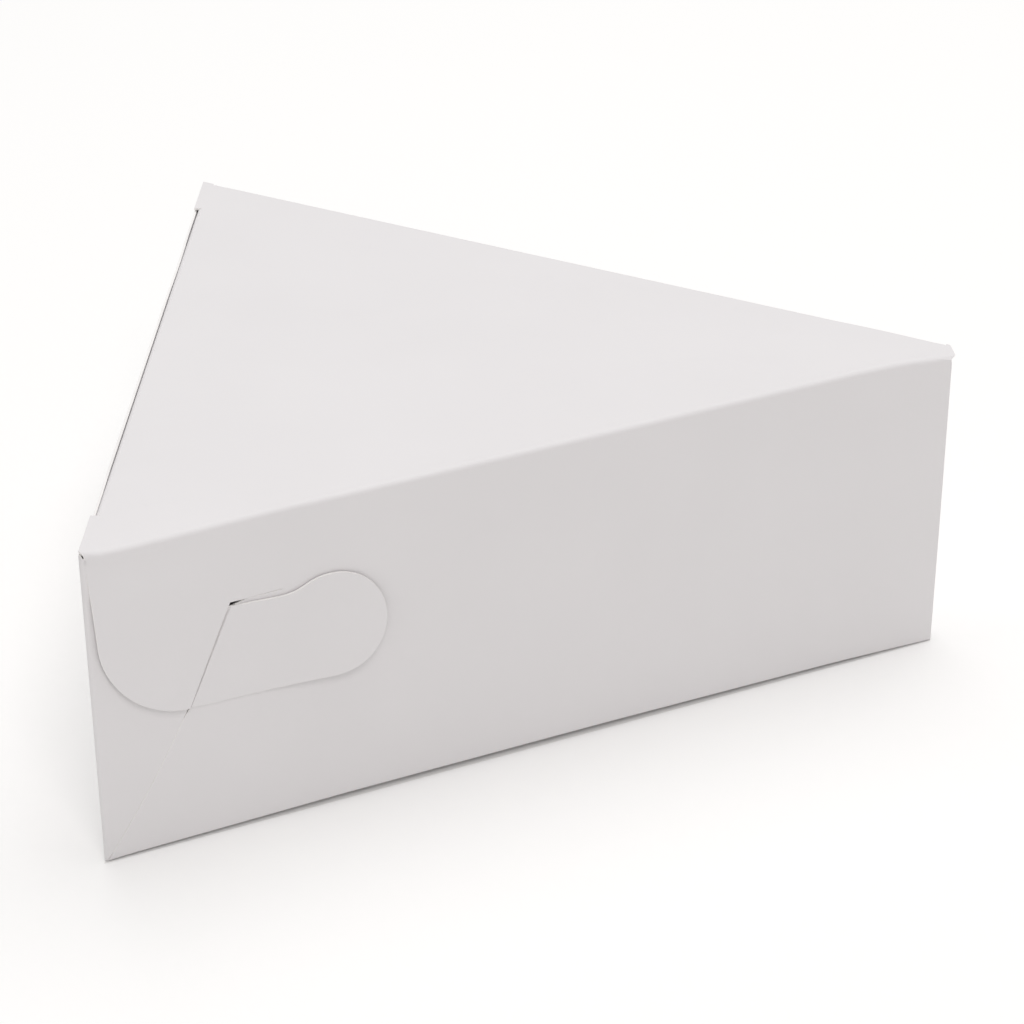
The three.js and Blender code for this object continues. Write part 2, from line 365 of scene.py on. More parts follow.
def stretch(points, step):
    """A closed outline with extra points on its long edges."""
    result = []
    for i, start in enumerate(points):
        end = points[(i + 1) % len(points)]
        length = math.dist(start, end)
        count = max(1, round(length / step))
        for k in range(count):
            share = k / count
            result.append((start[0] + (end[0] - start[0]) * share, start[1] + (end[1] - start[1]) * share))
    return result


def arc_points(centre, radius, first, last, count):
    """Points of an arc, both ends included."""
    angles = [first + (last - first) * k / count for k in range(count + 1)]
    return [(centre[0] + radius * math.cos(a), centre[1] + radius * math.sin(a)) for a in angles]


def curve_points(start, bend, end, count):
    """Points of a quadratic curve, both ends included."""
    result = []
    for k in range(count + 1):
        t = k / count
        result.append(tuple(
            (1 - t) ** 2 * a + 2 * t * (1 - t) * b + t * t * c for a, b, c in zip(start, bend, end)
        ))
    return result


def cubic_points(start, first, second, end, count):
    """Points of a cubic curve, both ends included."""
    result = []
    for k in range(count + 1):
        t = k / count
        weights = ((1 - t) ** 3, 3 * t * (1 - t) ** 2, 3 * t * t * (1 - t), t ** 3)
        result.append(tuple(
            sum(w * p[axis] for w, p in zip(weights, (start, first, second, end))) for axis in (0, 1)
        ))
    return result


def evenly(first, last, step):
    """Values from first to last about a step apart, both ends included."""
    count = max(1, round(abs(last - first) / step))
    return [first + (last - first) * k / count for k in range(count + 1)]


def mirrored(points, total):
    """Points of the near corner's hook moved to the rear corner, in the same order."""
    return [(total - x, y) for x, y in points]


def off_corners(points):
    """The points that don't lie on or just beside a rounded corner of the plan."""
    kept = []
    for along, height in points:
        turned = onto_loop(along)
        spots = [(start, start + length) for start, length, kind, _ in LOOP if kind == "arc"]
        spots += [(start - LOOP_LENGTH, end - LOOP_LENGTH) for start, end in spots]
        if all(not start - CORNER_MARGIN < turned < end + CORNER_MARGIN for start, end in spots):
            kept.append((along, height))
    return kept


def grid(first, last, low, high, step):
    """A grid of points over a span, every second row shifted by half a step."""
    rows = []
    for j, height in enumerate(evenly(low, high, step * ROW_RATIO)):
        shift = step / 2 if j % 2 else 0.0
        rows.extend((along + shift, height) for along in evenly(first, last, step))
    return rows


def fold_rows(first, last, start, arc, first_row=1):
    """Rows of points over a fold whose arc begins at a flat place."""
    rows = []
    for k in range(first_row, ARC_STEPS + 1):
        across = start + arc * k / ARC_STEPS
        rows.extend((along, across) for along in evenly(first, last, PANEL_STEP))
    return rows


def foot_rows(first, last):
    """Rows of points for the rounded fold round the base, between two places on the outline."""
    rows = []
    steps = ARC_STEPS // 2
    for k in range(1, steps + 1):
        height = FOOT + (BASE_RADIUS - FOOT) * k / steps
        rows.extend((along, height) for along in evenly(first, last, PANEL_STEP))
    return off_corners(rows)


def corner_columns(high):
    """Columns of points round the four rounded corners of the plan, for this turn and the one before."""
    heights = evenly(FOOT, BASE_RADIUS, FOOT_STEP)[1:] + evenly(WALL_GRID_FOOT, high, COLUMN_STEP)
    points = []
    for start, length, kind, _ in LOOP:
        if kind == "line":
            continue
        for turn in (-LOOP_LENGTH, 0.0):
            for k in range(-1, COLUMN_COUNT + 2):
                along = start + length * k / COLUMN_COUNT + turn
                points.extend((along, height) for height in heights)
    return points


def inside_and_clear(points, outline, clearance):
    """The points that lie inside a closed outline, and at least a clearance away from it."""
    points = np.array(points)
    start = np.array(outline)
    end = np.roll(start, -1, axis=0)
    edge = end - start
    length = np.maximum((edge ** 2).sum(1), SHORTEST)
    offset = points[:, None, :] - start[None, :, :]
    share = np.clip((offset * edge[None]).sum(2) / length[None], 0, 1)
    nearest = np.linalg.norm(offset - share[..., None] * edge[None], axis=2).min(1)
    above = (start[None, :, 1] > points[:, None, 1]) != (end[None, :, 1] > points[:, None, 1])
    rise = np.where(np.abs(edge[:, 1]) < LEVEL, LEVEL, edge[:, 1])
    cross = start[None, :, 0] + (points[:, None, 1] - start[None, :, 1]) * (edge[:, 0] / rise)[None]
    inside = (above & (points[:, None, 0] < cross)).sum(1) % 2 == 1
    return [tuple(p) for p in points[inside & (nearest > clearance)]]


# Making closed sheets of board

def triangulate(outline, inner, keep):
    """Flat points and triangles over an outline, its inner points and the lines that stay edges."""
    flat = [Vector(p) for p in outline] + [Vector(p) for p in inner]
    count = len(outline)
    edges = [(i, (i + 1) % count) for i in range(count)]
    for line in keep:
        first = len(flat)
        flat.extend(Vector(p) for p in line)
        edges.extend((first + k, first + k + 1) for k in range(len(line) - 1))
    flat, _, triangles, _, _, _ = delaunay_2d_cdt(flat, edges, [], TRIANGLES_INSIDE, TRIANGLE_TOLERANCE)
    return flat, triangles


def border_edges(triangles):
    """The edges that belong to one triangle only."""
    used = {}
    for triangle in triangles:
        for i, a in enumerate(triangle):
            used[(a, triangle[(i + 1) % len(triangle)])] = True
    return [edge for edge in used if (edge[1], edge[0]) not in used]


def ways_inward(flat, border):
    """For each corner of the border, the directions into the sheet and square to its edges."""
    ways = {}
    for a, b in border:
        along = (flat[b] - flat[a]).normalized()
        inward = Vector((-along.y, along.x))
        for corner in (a, b):
            ways.setdefault(corner, []).append(inward)
    return ways


def nowhere(point):
    """Marks no point of an outline."""
    return False


class Builder:
    """Gathers closed sheets into the vertices and faces of one mesh."""

    def __init__(self):
        self.vertices = []
        self.faces = []
        self.cut = []

    def add(self, point):
        self.vertices.append(point)
        return len(self.vertices) - 1

    def face(self, corners, cut=False):
        self.faces.append(corners)
        self.cut.append(cut)

    def sheet(self, outline, inner, place, flush=nowhere, weld=nowhere, keep=()):
        """A sheet with this flat outline. A flush edge isn't chamfered, and a weld edge is left open."""
        flat, triangles = triangulate(outline, inner, keep)
        border = border_edges(triangles)
        ways = ways_inward(flat, border)
        rim = {}
        for corner, inward in ways.items():
            shift = Vector((0.0, 0.0))
            if not flush(flat[corner]) and not weld(flat[corner]):
                shift = sum(inward, shift) * EDGE / len(inward)
            rim[corner] = flat[corner] + shift
        outer = {}
        inner_side = {}
        for i in sorted(set(i for triangle in triangles for i in triangle)):
            point = rim.get(i, flat[i])
            outer[i] = self.add(place(point.x, point.y, 0.0))
            inner_side[i] = self.add(place(point.x, point.y, BOARD))
        for triangle in triangles:
            self.face([outer[i] for i in triangle])
            self.face([inner_side[i] for i in reversed(triangle)])
        high = {}
        low = {}
        for i in ways:
            point = flat[i]
            high[i] = self.add(place(point.x, point.y, EDGE))
            low[i] = self.add(place(point.x, point.y, BOARD - EDGE))
        for a, b in border:
            if weld(flat[a]) and weld(flat[b]):
                continue
            self.face([outer[b], outer[a], high[a], high[b]], True)
            self.face([high[b], high[a], low[a], low[b]], True)
            self.face([low[b], low[a], inner_side[a], inner_side[b]], True)

    def piece(self, name, material, deform=None):
        """Makes the Blender object, in metres and in the model's frame, with pale cut edges."""
        mesh = bpy.data.meshes.new(name)
        points = [deform(p) if deform else p for p in self.vertices]
        shift = Vector((-CENTRE, 0.0, 0.0))
        mesh.from_pydata([(p + shift) * MM for p in points], [], self.faces)
        mesh.materials.append(material)
        mesh.materials.append(cut_edge)
        mesh.polygons.foreach_set("material_index", [1 if cut else 0 for cut in self.cut])
        mesh.polygons.foreach_set("use_smooth", [True] * len(mesh.polygons))
        piece = bpy.data.objects.new(name, mesh)
        bpy.context.scene.collection.objects.link(piece)
        merge_and_sharpen(mesh)
        return piece


def merge_and_sharpen(mesh):
    """Joins points that coincide and marks the edges that turn sharply."""
    work = bmesh.new()
    work.from_mesh(mesh)
    bmesh.ops.remove_doubles(work, verts=work.verts, dist=MERGE_DISTANCE * MM)
    bmesh.ops.recalc_face_normals(work, faces=work.faces)
    work.to_mesh(mesh)
    work.free()
    mesh.set_sharp_from_angle(angle=SHARP_ANGLE)
    mesh.update()


# How the panels bend

def smooth(value):
    """A soft step from 0 to 1."""
    value = min(max(value, 0.0), 1.0)
    return value * value * (3 - 2 * value)


def hook_side(along, height):
    """Which side of the slit and its relief a point of the wall is on: above zero on the lobe's side."""
    if height >= SLIT_HEAD[1] or along >= SLIT_HEAD[0]:
        return height - np.interp(along, *zip(*RELIEF_MIDDLE))
    return SLIT_FOOT[0] + SLIT_LEAN * (height - SLIT_FOOT[1]) + SLIT_RISER / 2 - along


def lobe_lift(along, height, lift):
    """How far a wall's lobe stands off the wall's plane."""
    relief_end = RELIEF_UPPER[-1][0]
    if along > relief_end or height < TAB_FOOT - LOBE_FOOT_MARGIN or hook_side(along, height) < 0:
        return 0.0
    across = smooth((relief_end - along) / (relief_end - SLIT_HEAD[0] + LOBE_FADE_MARGIN))
    down = smooth((NEAR_SPLIT - height) / LOBE_TOP_RAMP)
    near_slit = smooth(1 - (SLIT_HEAD[0] - along) / LOBE_SLIT_SPAN)
    inner_share = smooth((along - LOBE_FOOT_EDGE) / LOBE_EDGE_SPAN)
    share = LOBE_EDGE_SHARE + (1 - LOBE_EDGE_SHARE) * inner_share
    free = min(lift * share, LOBE_CORNER_SLOPE * along)
    full = free + (LOBE_SLIT_LIFT - free) * near_slit
    return across * down * full


def tab_lift(along, height, end_lift, low_lift):
    """How far the corner flap's tab stands off the wall's plane, right of the slit."""
    past = along - SLIT_FOOT[0] - SLIT_LEAN * (height - SLIT_FOOT[1])
    past *= math.cos(math.atan(SLIT_LEAN))
    if height < TAB_FOOT - SLACK or past < 0:
        return 0.0
    rise = smooth(past / TAB_RISE)
    end = smooth((along - SLIT_HEAD[0]) / (TAB_HEAD_REACH + TAB_HEAD_RADIUS - SLIT_HEAD[0]))
    low = smooth((TAB_LIFT_TOP - height) / (TAB_LIFT_TOP - TAB_FOOT))
    return rise * TAB_LIFT + end * (end_lift + low * low_lift)


def wall_lift(along, height):
    """The lobes' lift; the rear one is flatter, as it lies under the side flap."""
    rear = REAR_CORNER - along
    if rear < along:
        return lobe_lift(rear, height, REAR_LOBE_LIFT)
    return lobe_lift(along, height, LOBE_LIFT)


def flap_lift(along, height):
    """The tabs' lift on the outline of the back wall and its corner flaps."""
    rear = REAR_CORNER - LOOP_LENGTH - along
    if rear > along:
        return tab_lift(rear, height, REAR_TAB_END_LIFT, 0.0)
    return tab_lift(along, height, TAB_END_LIFT, TAB_LOW_LIFT)


def no_lift(along, height):
    """For a sheet that lies in the wall's plane."""
    return 0.0


def profile(points, where):
    """A value read from a few points, with the corners between them rounded off."""
    spots = where + np.linspace(-PROFILE_BLUR, PROFILE_BLUR, PROFILE_SAMPLES)
    return float(np.interp(spots, *zip(*points)).mean())


def bend_near_side(point):
    """Moves a point by the base's rise, the fold's droop and lean, and the near wall's bow."""
    offset = Vector((point.x, point.y)) - NEAR_CORNER
    along = offset.dot(ALONG)
    inward = offset.dot(INWARD)
    rise = profile(BASE_RISE, along) * smooth(1 - point.z / RISE_TOP) * smooth(1 - inward / RISE_REACH)
    droop = np.interp(along, *zip(*FOLD_DROOP))
    droop *= smooth((point.z - DROOP_FOOT) / DROOP_RAMP) * smooth(1 - inward / DROOP_REACH)
    lean = profile(FOLD_LEAN, along)
    lean *= smooth((point.z - LEAN_FOOT) / (FOLD_FOOT - LEAN_FOOT)) * smooth(1 - inward / LEAN_REACH)
    arch = max(4 * along * (SIDE_LENGTH - along) / SIDE_LENGTH ** 2, 0.0)
    middle = math.sin(math.pi * min(max(point.z / FOLD_FOOT, 0.0), 1.0))
    lean += WALL_BOW * arch * middle * smooth(1 - inward / BOW_REACH)
    return point + Vector((INWARD.x * lean, INWARD.y * lean, rise - droop))


def bend_tray(point):
    """The near side's bends, and the back wall's lean towards its top."""
    back = profile(BACK_LEAN, point.y) * smooth(point.z / HEIGHT)
    back *= smooth((BACK_LEAN_END - point.x) / BACK_LEAN_RAMP)
    return bend_near_side(point) + Vector((back, 0.0, 0.0))


def tuck_shift(across):
    """How far the tuck flap's fold stands from its middle line, at a place across the back."""
    share = (across - NEAR_EAR_END) / (FAR_EAR_END - NEAR_EAR_END)
    share = min(max(share, 0.0), 1.0)
    return TUCK_NEAR_SHIFT + (TUCK_FAR_SHIFT - TUCK_NEAR_SHIFT) * share


def between_ears(across):
    """Whether a place across the back is on the tuck flap's fold."""
    return NEAR_EAR_END - SLACK < across < FAR_EAR_END + SLACK


def bend_lid(point):
    """The near side's bends, a little sag in the middle, and the shift of the tuck flap's fold."""
    share_x = min(max(point.x / DEPTH, 0.0), 1.0)
    reach = max(HALF_BACK - SLOPE * point.x, 1.0)
    share_y = min(abs(point.y) / reach, 1.0)
    on_panel = smooth((point.z - HEIGHT + SAG_START) / SAG_RAMP)
    sag = LID_SAG * on_panel * math.sin(math.pi * share_x) ** 2 * (1 - share_y ** 2) ** 2
    shift = 0.0
    if between_ears(point.y):
        fade = smooth(1 - max(point.x - TUCK_FACE - TUCK_RADIUS, 0.0) / TUCK_SHIFT_REACH)
        shift = tuck_shift(point.y) * fade * smooth(point.x - TUCK_SHIFT_START)
    return bend_near_side(point) + Vector((shift, 0.0, -sag))


# Materials

def noise(tree, place, scale, detail):
    """The value of a noise texture in the object's own space."""
    node = tree.nodes.new("ShaderNodeTexNoise")
    node.inputs["Scale"].default_value = scale
    node.inputs["Detail"].default_value = detail
    tree.links.new(place, node.inputs["Vector"])
    return node.outputs["Fac"]


def bump(tree, height, strength, depth):
    """A bump node for a height, with its strength and its depth in metres."""
    node = tree.nodes.new("ShaderNodeBump")
    node.inputs["Strength"].default_value = strength
    node.inputs["Distance"].default_value = depth
    tree.links.new(height, node.inputs["Height"])
    return node


def board_material(name, colour, roughness, strength, mottling):
    """White board: a faint mottling of its surface, a soft wave and the fine grain of the paper."""
    material = bpy.data.materials.new(name)
    material.use_nodes = True
    tree = material.node_tree
    shader = tree.nodes["Principled BSDF"]
    shader.inputs["Roughness"].default_value = roughness
    shader.inputs["Specular IOR Level"].default_value = BOARD_SPECULAR
    place = tree.nodes.new("ShaderNodeTexCoord").outputs["Object"]
    tint = tree.nodes.new("ShaderNodeValToRGB")
    low = [c * (1 - mottling) for c in colour]
    high = [min(1.0, c * (1 + mottling)) for c in colour]
    for stop, position, tone in zip(tint.color_ramp.elements, MOTTLING_STOPS, (low, high)):
        stop.position = position
        stop.color = (*tone, 1.0)
    tree.links.new(noise(tree, place, *MOTTLING_NOISE), tint.inputs["Fac"])
    tree.links.new(tint.outputs["Color"], shader.inputs["Base Color"])
    grain = bump(tree, noise(tree, place, *GRAIN_NOISE), strength, GRAIN_DEPTH)
    wave = bump(tree, noise(tree, place, *WAVE_NOISE), strength, WAVE_DEPTH)
    tree.links.new(grain.outputs["Normal"], wave.inputs["Normal"])
    tree.links.new(wave.outputs["Normal"], shader.inputs["Normal"])
    return material


tray_board = board_material("tray_board", COAT, COAT_ROUGHNESS, COAT_BUMP, COAT_MOTTLING)
lid_board = board_material("lid_board", COAT, COAT_ROUGHNESS, COAT_BUMP, COAT_MOTTLING)
flap_board = board_material("flap_board", COAT, FLAP_ROUGHNESS, COAT_BUMP, COAT_MOTTLING)
cut_edge = board_material("cut_edge", FIBRE, FIBRE_ROUGHNESS, FIBRE_BUMP, FIBRE_MOTTLING)


# The tray

def lobe_outline():
    """The wall's near end from its top, round the lobe, up the slit, along the relief and down the seam."""
    centre = (LOBE_FOOT_EDGE + LOBE_RADIUS, LOBE_CENTRE)
    foot_angle = math.acos((SLIT_FOOT[0] - centre[0]) / LOBE_RADIUS)
    points = [(LOBE_TOP_EDGE, NEAR_SPLIT)]
    points += arc_points(centre, LOBE_RADIUS, math.pi, 2 * math.pi - foot_angle, LOBE_STEPS)
    points += RELIEF_UPPER
    points += RELIEF_LOWER
    points.append((SLIT_FOOT[0] + SLIT_RISER, SLIT_FOOT[1] - MITRE_DROP))
    seam = curve_points(SEAM_FOOT, SEAM_BEND, SLIT_FOOT, SEAM_STEPS)
    points += [(x + SEAM_GAP, y) for x, y in reversed(seam[:-1])]
    points.append((SEAM_FOOT[0] + SEAM_GAP, FOOT))
    return points


def wall_inner(outline, first, last, hook, total, column_top):
    """Inner points of a wall's sheet: over its panels, its two hooks, its foot and its corners."""
    panels = off_corners(grid(first, last, WALL_GRID_FOOT, HEIGHT, PANEL_STEP))
    inner = inside_and_clear(panels, outline, PANEL_CLEARANCE)
    inner += inside_and_clear(hook, outline, PANEL_CLEARANCE)
    inner += inside_and_clear(mirrored(hook, total), outline, PANEL_CLEARANCE)
    inner += inside_and_clear(foot_rows(first, last), outline, CORNER_CLEARANCE)
    inner += inside_and_clear(corner_columns(column_top), outline, CORNER_CLEARANCE)
    return inner


def at_foot(point):
    """Whether a point of a wall's outline meets the base."""
    return abs(point.y - FOOT) < SAME


def feet(outline):
    """Where the points of an outline that meet the base stand along the plan."""
    return [x for x, y in outline if abs(y - FOOT) < SAME]


def wall_sheet(builder):
    """The near wall, the narrow tip face and the rear wall, with a lobe at each end."""
    near_end = lobe_outline()
    rear_end = mirrored(reversed(near_end), REAR_CORNER)
    rear_end = [(x, WALL_TOP if y == NEAR_SPLIT else y) for x, y in rear_end]
    outline = near_end + rear_end
    outline += [(TIP_START, WALL_TOP), (TIP_START, NEAR_SPLIT)]
    full = stretch(outline, PANEL_STEP)
    hook = off_corners(grid(0.0, LOBE_GRID_END, LOBE_GRID_FOOT, HEIGHT, HOOK_GRID_STEP))
    inner = wall_inner(full, near_end[-1][0], rear_end[0][0], hook, REAR_CORNER, WALL_TOP)
    builder.sheet(
        full, inner, wall_place(wall_lift),
        flush=lambda p: abs(p.y - NEAR_SPLIT) < ROUNDED and p.x < TIP_START + SLACK,
        weld=at_foot,
    )
    return feet(full)


def flap_outline():
    """The corner flap on the near wall, from the base up the seam, round the tab and back along its top."""
    points = [(SEAM_FOOT[0], FOOT)]
    points += curve_points(SEAM_FOOT, SEAM_BEND, (SLIT_FOOT[0], TAB_FOOT), SEAM_STEPS)
    centre = (TAB_HEAD_REACH, TAB_FOOT + TAB_HEAD_RADIUS)
    points += arc_points(centre, TAB_HEAD_RADIUS, -math.pi / 2, math.pi / 2, TAB_HEAD_STEPS)
    shoulder = (TAB_HEAD_REACH + TAB_NECK[0]) / 2
    top = (TAB_HEAD_REACH, TAB_FOOT + 2 * TAB_HEAD_RADIUS)
    points += cubic_points(top, (shoulder, top[1]), (shoulder, TAB_NECK[1]), TAB_NECK, CURVE_STEPS)[1:]
    points += [(SLIT_HEAD[0] + x, SLIT_HEAD[1] + y) for x, y in FLAP_SHOULDER]
    points.append((FLAP_TOP_END, FLAP_INNER_TOP))
    points.append((FLAP_TOP_END, FLAP_TOP))
    return points


def back_sheet(builder):
    """The back wall, with a corner flap and its tab at each end."""
    near_end = flap_outline()
    rear_base = REAR_CORNER - LOOP_LENGTH
    rear_end = mirrored(reversed(near_end), rear_base)
    corner_end = BACK_LINE[0] + BACK_LINE[1] - LOOP_LENGTH
    rear_corner_end = BACK_LINE[0] - LOOP_LENGTH
    outline = near_end + [(LOOP_START, FLAP_TOP)]
    outline += [(corner_end, WALL_TOP), (rear_corner_end, WALL_TOP)] + rear_end
    full = stretch(outline, PANEL_STEP)
    hook = off_corners(grid(0.0, TAB_GRID_END, WALL_GRID_FOOT, HEIGHT, HOOK_GRID_STEP))
    column_top = FLAP_TOP - COLUMN_TOP_MARGIN
    inner = wall_inner(full, rear_end[-1][0], near_end[0][0], hook, rear_base, column_top)
    keep = []
    for offset in SLIT_ROWS:
        heights = evenly(SLIT_ROWS_FOOT, SLIT_ROWS_HEAD, HOOK_STEP)
        line = [(SLIT_FOOT[0] + SLIT_LEAN * (height - SLIT_FOOT[1]) + offset, height) for height in heights]
        keep.append(line)
        keep.append(mirrored(line, rear_base))
    builder.sheet(full, inner, wall_place(flap_lift), weld=at_foot, keep=keep)
    return feet(full)


def base_sheet(builder, places):
    """The base, joined to the feet of the walls."""
    corners = []
    for along in places:
        point, outward = plan_point(along)
        foot = point - outward * BASE_RADIUS
        corners.append((foot.x, foot.y))
    spread = grid(0.0, DEPTH, -HALF_BACK, HALF_BACK, BASE_STEP)
    inner = inside_and_clear(spread, corners, BASE_CLEARANCE)

    def on_border(point):
        return any(abs(point.x - x) < ROUNDED and abs(point.y - y) < ROUNDED for x, y in corners)

    builder.sheet(corners, inner, lambda x, y, depth: Vector((x, y, depth)), weld=on_border)


def lap_sheet(builder):
    """The lap of the tip's fold, glued inside the rear wall."""
    start = REAR_LINE[0] + LAP_START
    outline = [
        (start, LAP_MARGIN / 2),
        (start + LAP_WIDTH, LAP_MARGIN),
        (start + LAP_WIDTH, WALL_TOP - LAP_MARGIN),
        (start, WALL_TOP - LAP_MARGIN / 2),
    ]
    place = wall_place(no_lift)
    full = stretch(outline, PANEL_STEP)
    builder.sheet(full, [], lambda along, height, depth: place(along, height, depth + BOARD + LAP_GAP))


def make_tray():
    """The walls, the base and the lap, welded into one sheet."""
    builder = Builder()
    places = wall_sheet(builder) + back_sheet(builder)
    base_sheet(builder, sorted(set(onto_loop(x) for x in places)))
    lap_sheet(builder)
    piece = builder.piece("tray_sheet", tray_board, bend_tray)
    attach(piece, "tray")
    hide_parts("tray")


# The lid

def lid_place(along, across, depth):
    """Maps (along the fold, from the wall's strip over the fold onto the panel) to the lid."""
    inset = 0.0
    level = NEAR_SPLIT + across
    angle = 0.0
    if across > STRIP + ARC_LENGTH:
        angle = math.pi / 2
        inset = FOLD_RADIUS + across - STRIP - ARC_LENGTH
        level = HEIGHT
    elif across > STRIP:
        angle = (across - STRIP) / FOLD_RADIUS
        inset = FOLD_RADIUS * (1 - math.cos(angle))
        level = FOLD_FOOT + FOLD_RADIUS * math.sin(angle)
    flat = NEAR_CORNER + ALONG * along + INWARD * (inset + depth * math.cos(angle))
    return Vector((flat.x, flat.y, level - depth * math.sin(angle)))


def lid_flat(x, y):
    """The flat coordinates of a point of the lid's panel given in plan."""
    offset = Vector((x, y)) - NEAR_CORNER
    return offset.dot(ALONG), offset.dot(INWARD) - FOLD_RADIUS + STRIP + ARC_LENGTH


def fold_end(foot, head):
    """An end of the lid's fold, from its foot on the wall to its head on the panel."""
    points = []
    for k in range(ARC_STEPS + 1):
        share = k / ARC_STEPS
        points.append((foot + (head - foot) * smooth(share), STRIP + share * ARC_LENGTH))
    return points


def make_lid():
    """The lid's panel, its fold and the strip of the near wall above the lobe."""
    builder = Builder()
    cosine = math.cos(SIDE_ANGLE)
    tip = LID_END - LID_TIP_SETBACK
    back = TUCK_FACE + TUCK_RADIUS
    inset = SIDE_FLAP_RADIUS
    flap_end = tip - SIDE_FLAP_MARGIN * cosine
    flap_start = (SIDE_FLAP_START - SIDE_FLAP_SLOT) * cosine
    plan = [
        (LID_END, SLOPE * LID_END - HALF_BACK + FOLD_RADIUS / cosine),
        (tip, HALF_BACK - SLOPE * tip),
        (flap_end, HALF_BACK - SLOPE * flap_end),
        (flap_end, HALF_BACK - SLOPE * flap_end - inset / cosine),
        (flap_start, HALF_BACK - SLOPE * flap_start - inset / cosine),
        (flap_start, HALF_BACK - SLOPE * flap_start),
        (0.0, HALF_BACK),
        (0.0, FAR_EAR_END),
        (back, FAR_EAR_END),
        (back, NEAR_EAR_END),
        (0.0, NEAR_EAR_END),
        (0.0, FOLD_RADIUS / cosine - HALF_BACK),
    ]
    back_end = fold_end(LOBE_TOP_EDGE, FOLD_RADIUS * SLOPE)
    tip_end = fold_end(TIP_START, LID_END / cosine + FOLD_RADIUS * SLOPE)
    outline = [(LOBE_TOP_EDGE, 0.0), (TIP_START, 0.0)]
    outline += tip_end[:-1]
    outline += [lid_flat(x, y) for x, y in plan]
    outline += list(reversed(back_end))[1:]
    full = stretch(outline, PANEL_STEP)
    fold = STRIP + ARC_LENGTH
    panel = grid(0.0, SIDE_LENGTH, fold + FOLD_MARGIN, fold + LID_REACH, LID_STEP)
    inner = inside_and_clear(panel, full, LID_CLEARANCE)
    rows = fold_rows(0.0, SIDE_LENGTH, STRIP, ARC_LENGTH, first_row=0)
    inner += inside_and_clear(rows, full, LID_FOLD_CLEARANCE)

    def runs_on(flat):
        """Whether a point of the outline lies on an edge that runs on into another piece."""
        if abs(flat.y) < ROUNDED:
            return True
        place = lid_place(flat.x, flat.y, 0.0)
        on_back = abs(place.x - back) < ROUNDED and between_ears(place.y)
        rear = HALF_BACK - SLOPE * place.x - inset / cosine
        on_rear = abs(place.y - rear) < ROUNDED and flap_start - SLACK < place.x < flap_end + SLACK
        return on_back or on_rear

    builder.sheet(full, inner, lid_place, flush=runs_on)
    piece = builder.piece("lid_sheet", lid_board, bend_lid)
    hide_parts("lid")
    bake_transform(piece)


# The tuck flap and the side flap

def at_start(point):
    """Whether a point of a flap's outline meets the lid."""
    return abs(point.y) < SAME


def make_tuck_flap():
    """The flap tucked in behind the back wall, from its fold at the lid's back edge."""
    builder = Builder()
    radius = TUCK_RADIUS
    arc = math.pi / 2 * radius
    near = NEAR_EAR_END + EAR_SLOT
    far = FAR_EAR_END - EAR_SLOT
    drop = HEIGHT - radius - TUCK_FOOT

    def place(across, along, depth):
        angle = min(max(along / radius, 0.0), math.pi / 2)
        fallen = max(along - arc, 0.0)
        x = TUCK_FACE + radius - (radius - depth) * math.sin(angle)
        z = HEIGHT - radius + (radius - depth) * math.cos(angle) - fallen
        settle = 1 - TUCK_SETTLE * smooth(fallen / drop)
        return Vector((x + tuck_shift(across) * settle, across, z))

    foot = arc + drop
    near_side = near + TUCK_TAPER
    far_side = far - TUCK_TAPER
    corner_top = foot - TUCK_CORNER
    outline = [(near, arc * k / ARC_STEPS) for k in range(ARC_STEPS + 1)]
    near_foot = near + TUCK_CORNER
    far_foot = far - TUCK_CORNER
    outline += curve_points((near_side, corner_top), (near_side, foot), (near_foot, foot), CURVE_STEPS)
    outline += curve_points((far_foot, foot), (far_side, foot), (far_side, corner_top), CURVE_STEPS)
    outline += [(far, arc * k / ARC_STEPS) for k in reversed(range(ARC_STEPS + 1))]
    full = stretch(outline, PANEL_STEP)
    inner = inside_and_clear(grid(near, far, arc + FOLD_MARGIN, foot, PANEL_STEP), full, FLAP_CLEARANCE)
    inner += inside_and_clear(fold_rows(near, far, 0.0, arc), full, FLAP_FOLD_CLEARANCE)
    builder.sheet(full, inner, place, flush=at_start)
    piece = builder.piece("tuck_flap_sheet", flap_board)
    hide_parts("tuck_flap")
    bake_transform(piece)


def make_side_flap():
    """The tapered flap outside the rear wall, from its fold at the lid's rear edge."""
    builder = Builder()
    radius = SIDE_FLAP_RADIUS
    arc = math.pi / 2 * radius
    along_rear = Vector((math.cos(SIDE_ANGLE), -math.sin(SIDE_ANGLE)))
    outward = Vector((math.sin(SIDE_ANGLE), math.cos(SIDE_ANGLE)))
    corner = Vector((0.0, HALF_BACK))

    def place(along, down, depth):
        angle = min(max(down / radius, 0.0), math.pi / 2)
        fallen = max(down - arc, 0.0)
        out = (radius - depth) * math.sin(angle) - radius
        flat = corner + along_rear * along + outward * out
        return Vector((flat.x, flat.y, HEIGHT - radius + (radius - depth) * math.cos(angle) - fallen))

    first = SIDE_FLAP_START
    last = (LID_END - LID_TIP_SETBACK) / math.cos(SIDE_ANGLE) - SIDE_FLAP_MARGIN
    foot = arc + (HEIGHT - radius - SIDE_FLAP_FOOT)
    downs = [arc * k / ARC_STEPS for k in range(ARC_STEPS + 1)] + [foot]
    outline = [(last - SIDE_FLAP_SLANT * down / foot, down) for down in downs]
    outline += [(first + SIDE_FLAP_SLANT * down / foot, down) for down in reversed(downs)]
    full = stretch(outline, PANEL_STEP)
    inner = inside_and_clear(grid(first, last, arc + FOLD_MARGIN, foot, PANEL_STEP), full, FLAP_CLEARANCE)
    inner += inside_and_clear(fold_rows(first, last, 0.0, arc), full, FLAP_FOLD_CLEARANCE)
    builder.sheet(full, inner, place, flush=at_start)
    piece = builder.piece("side_flap_sheet", flap_board)
    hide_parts("side_flap")
    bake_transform(piece)


# Floor, light and camera

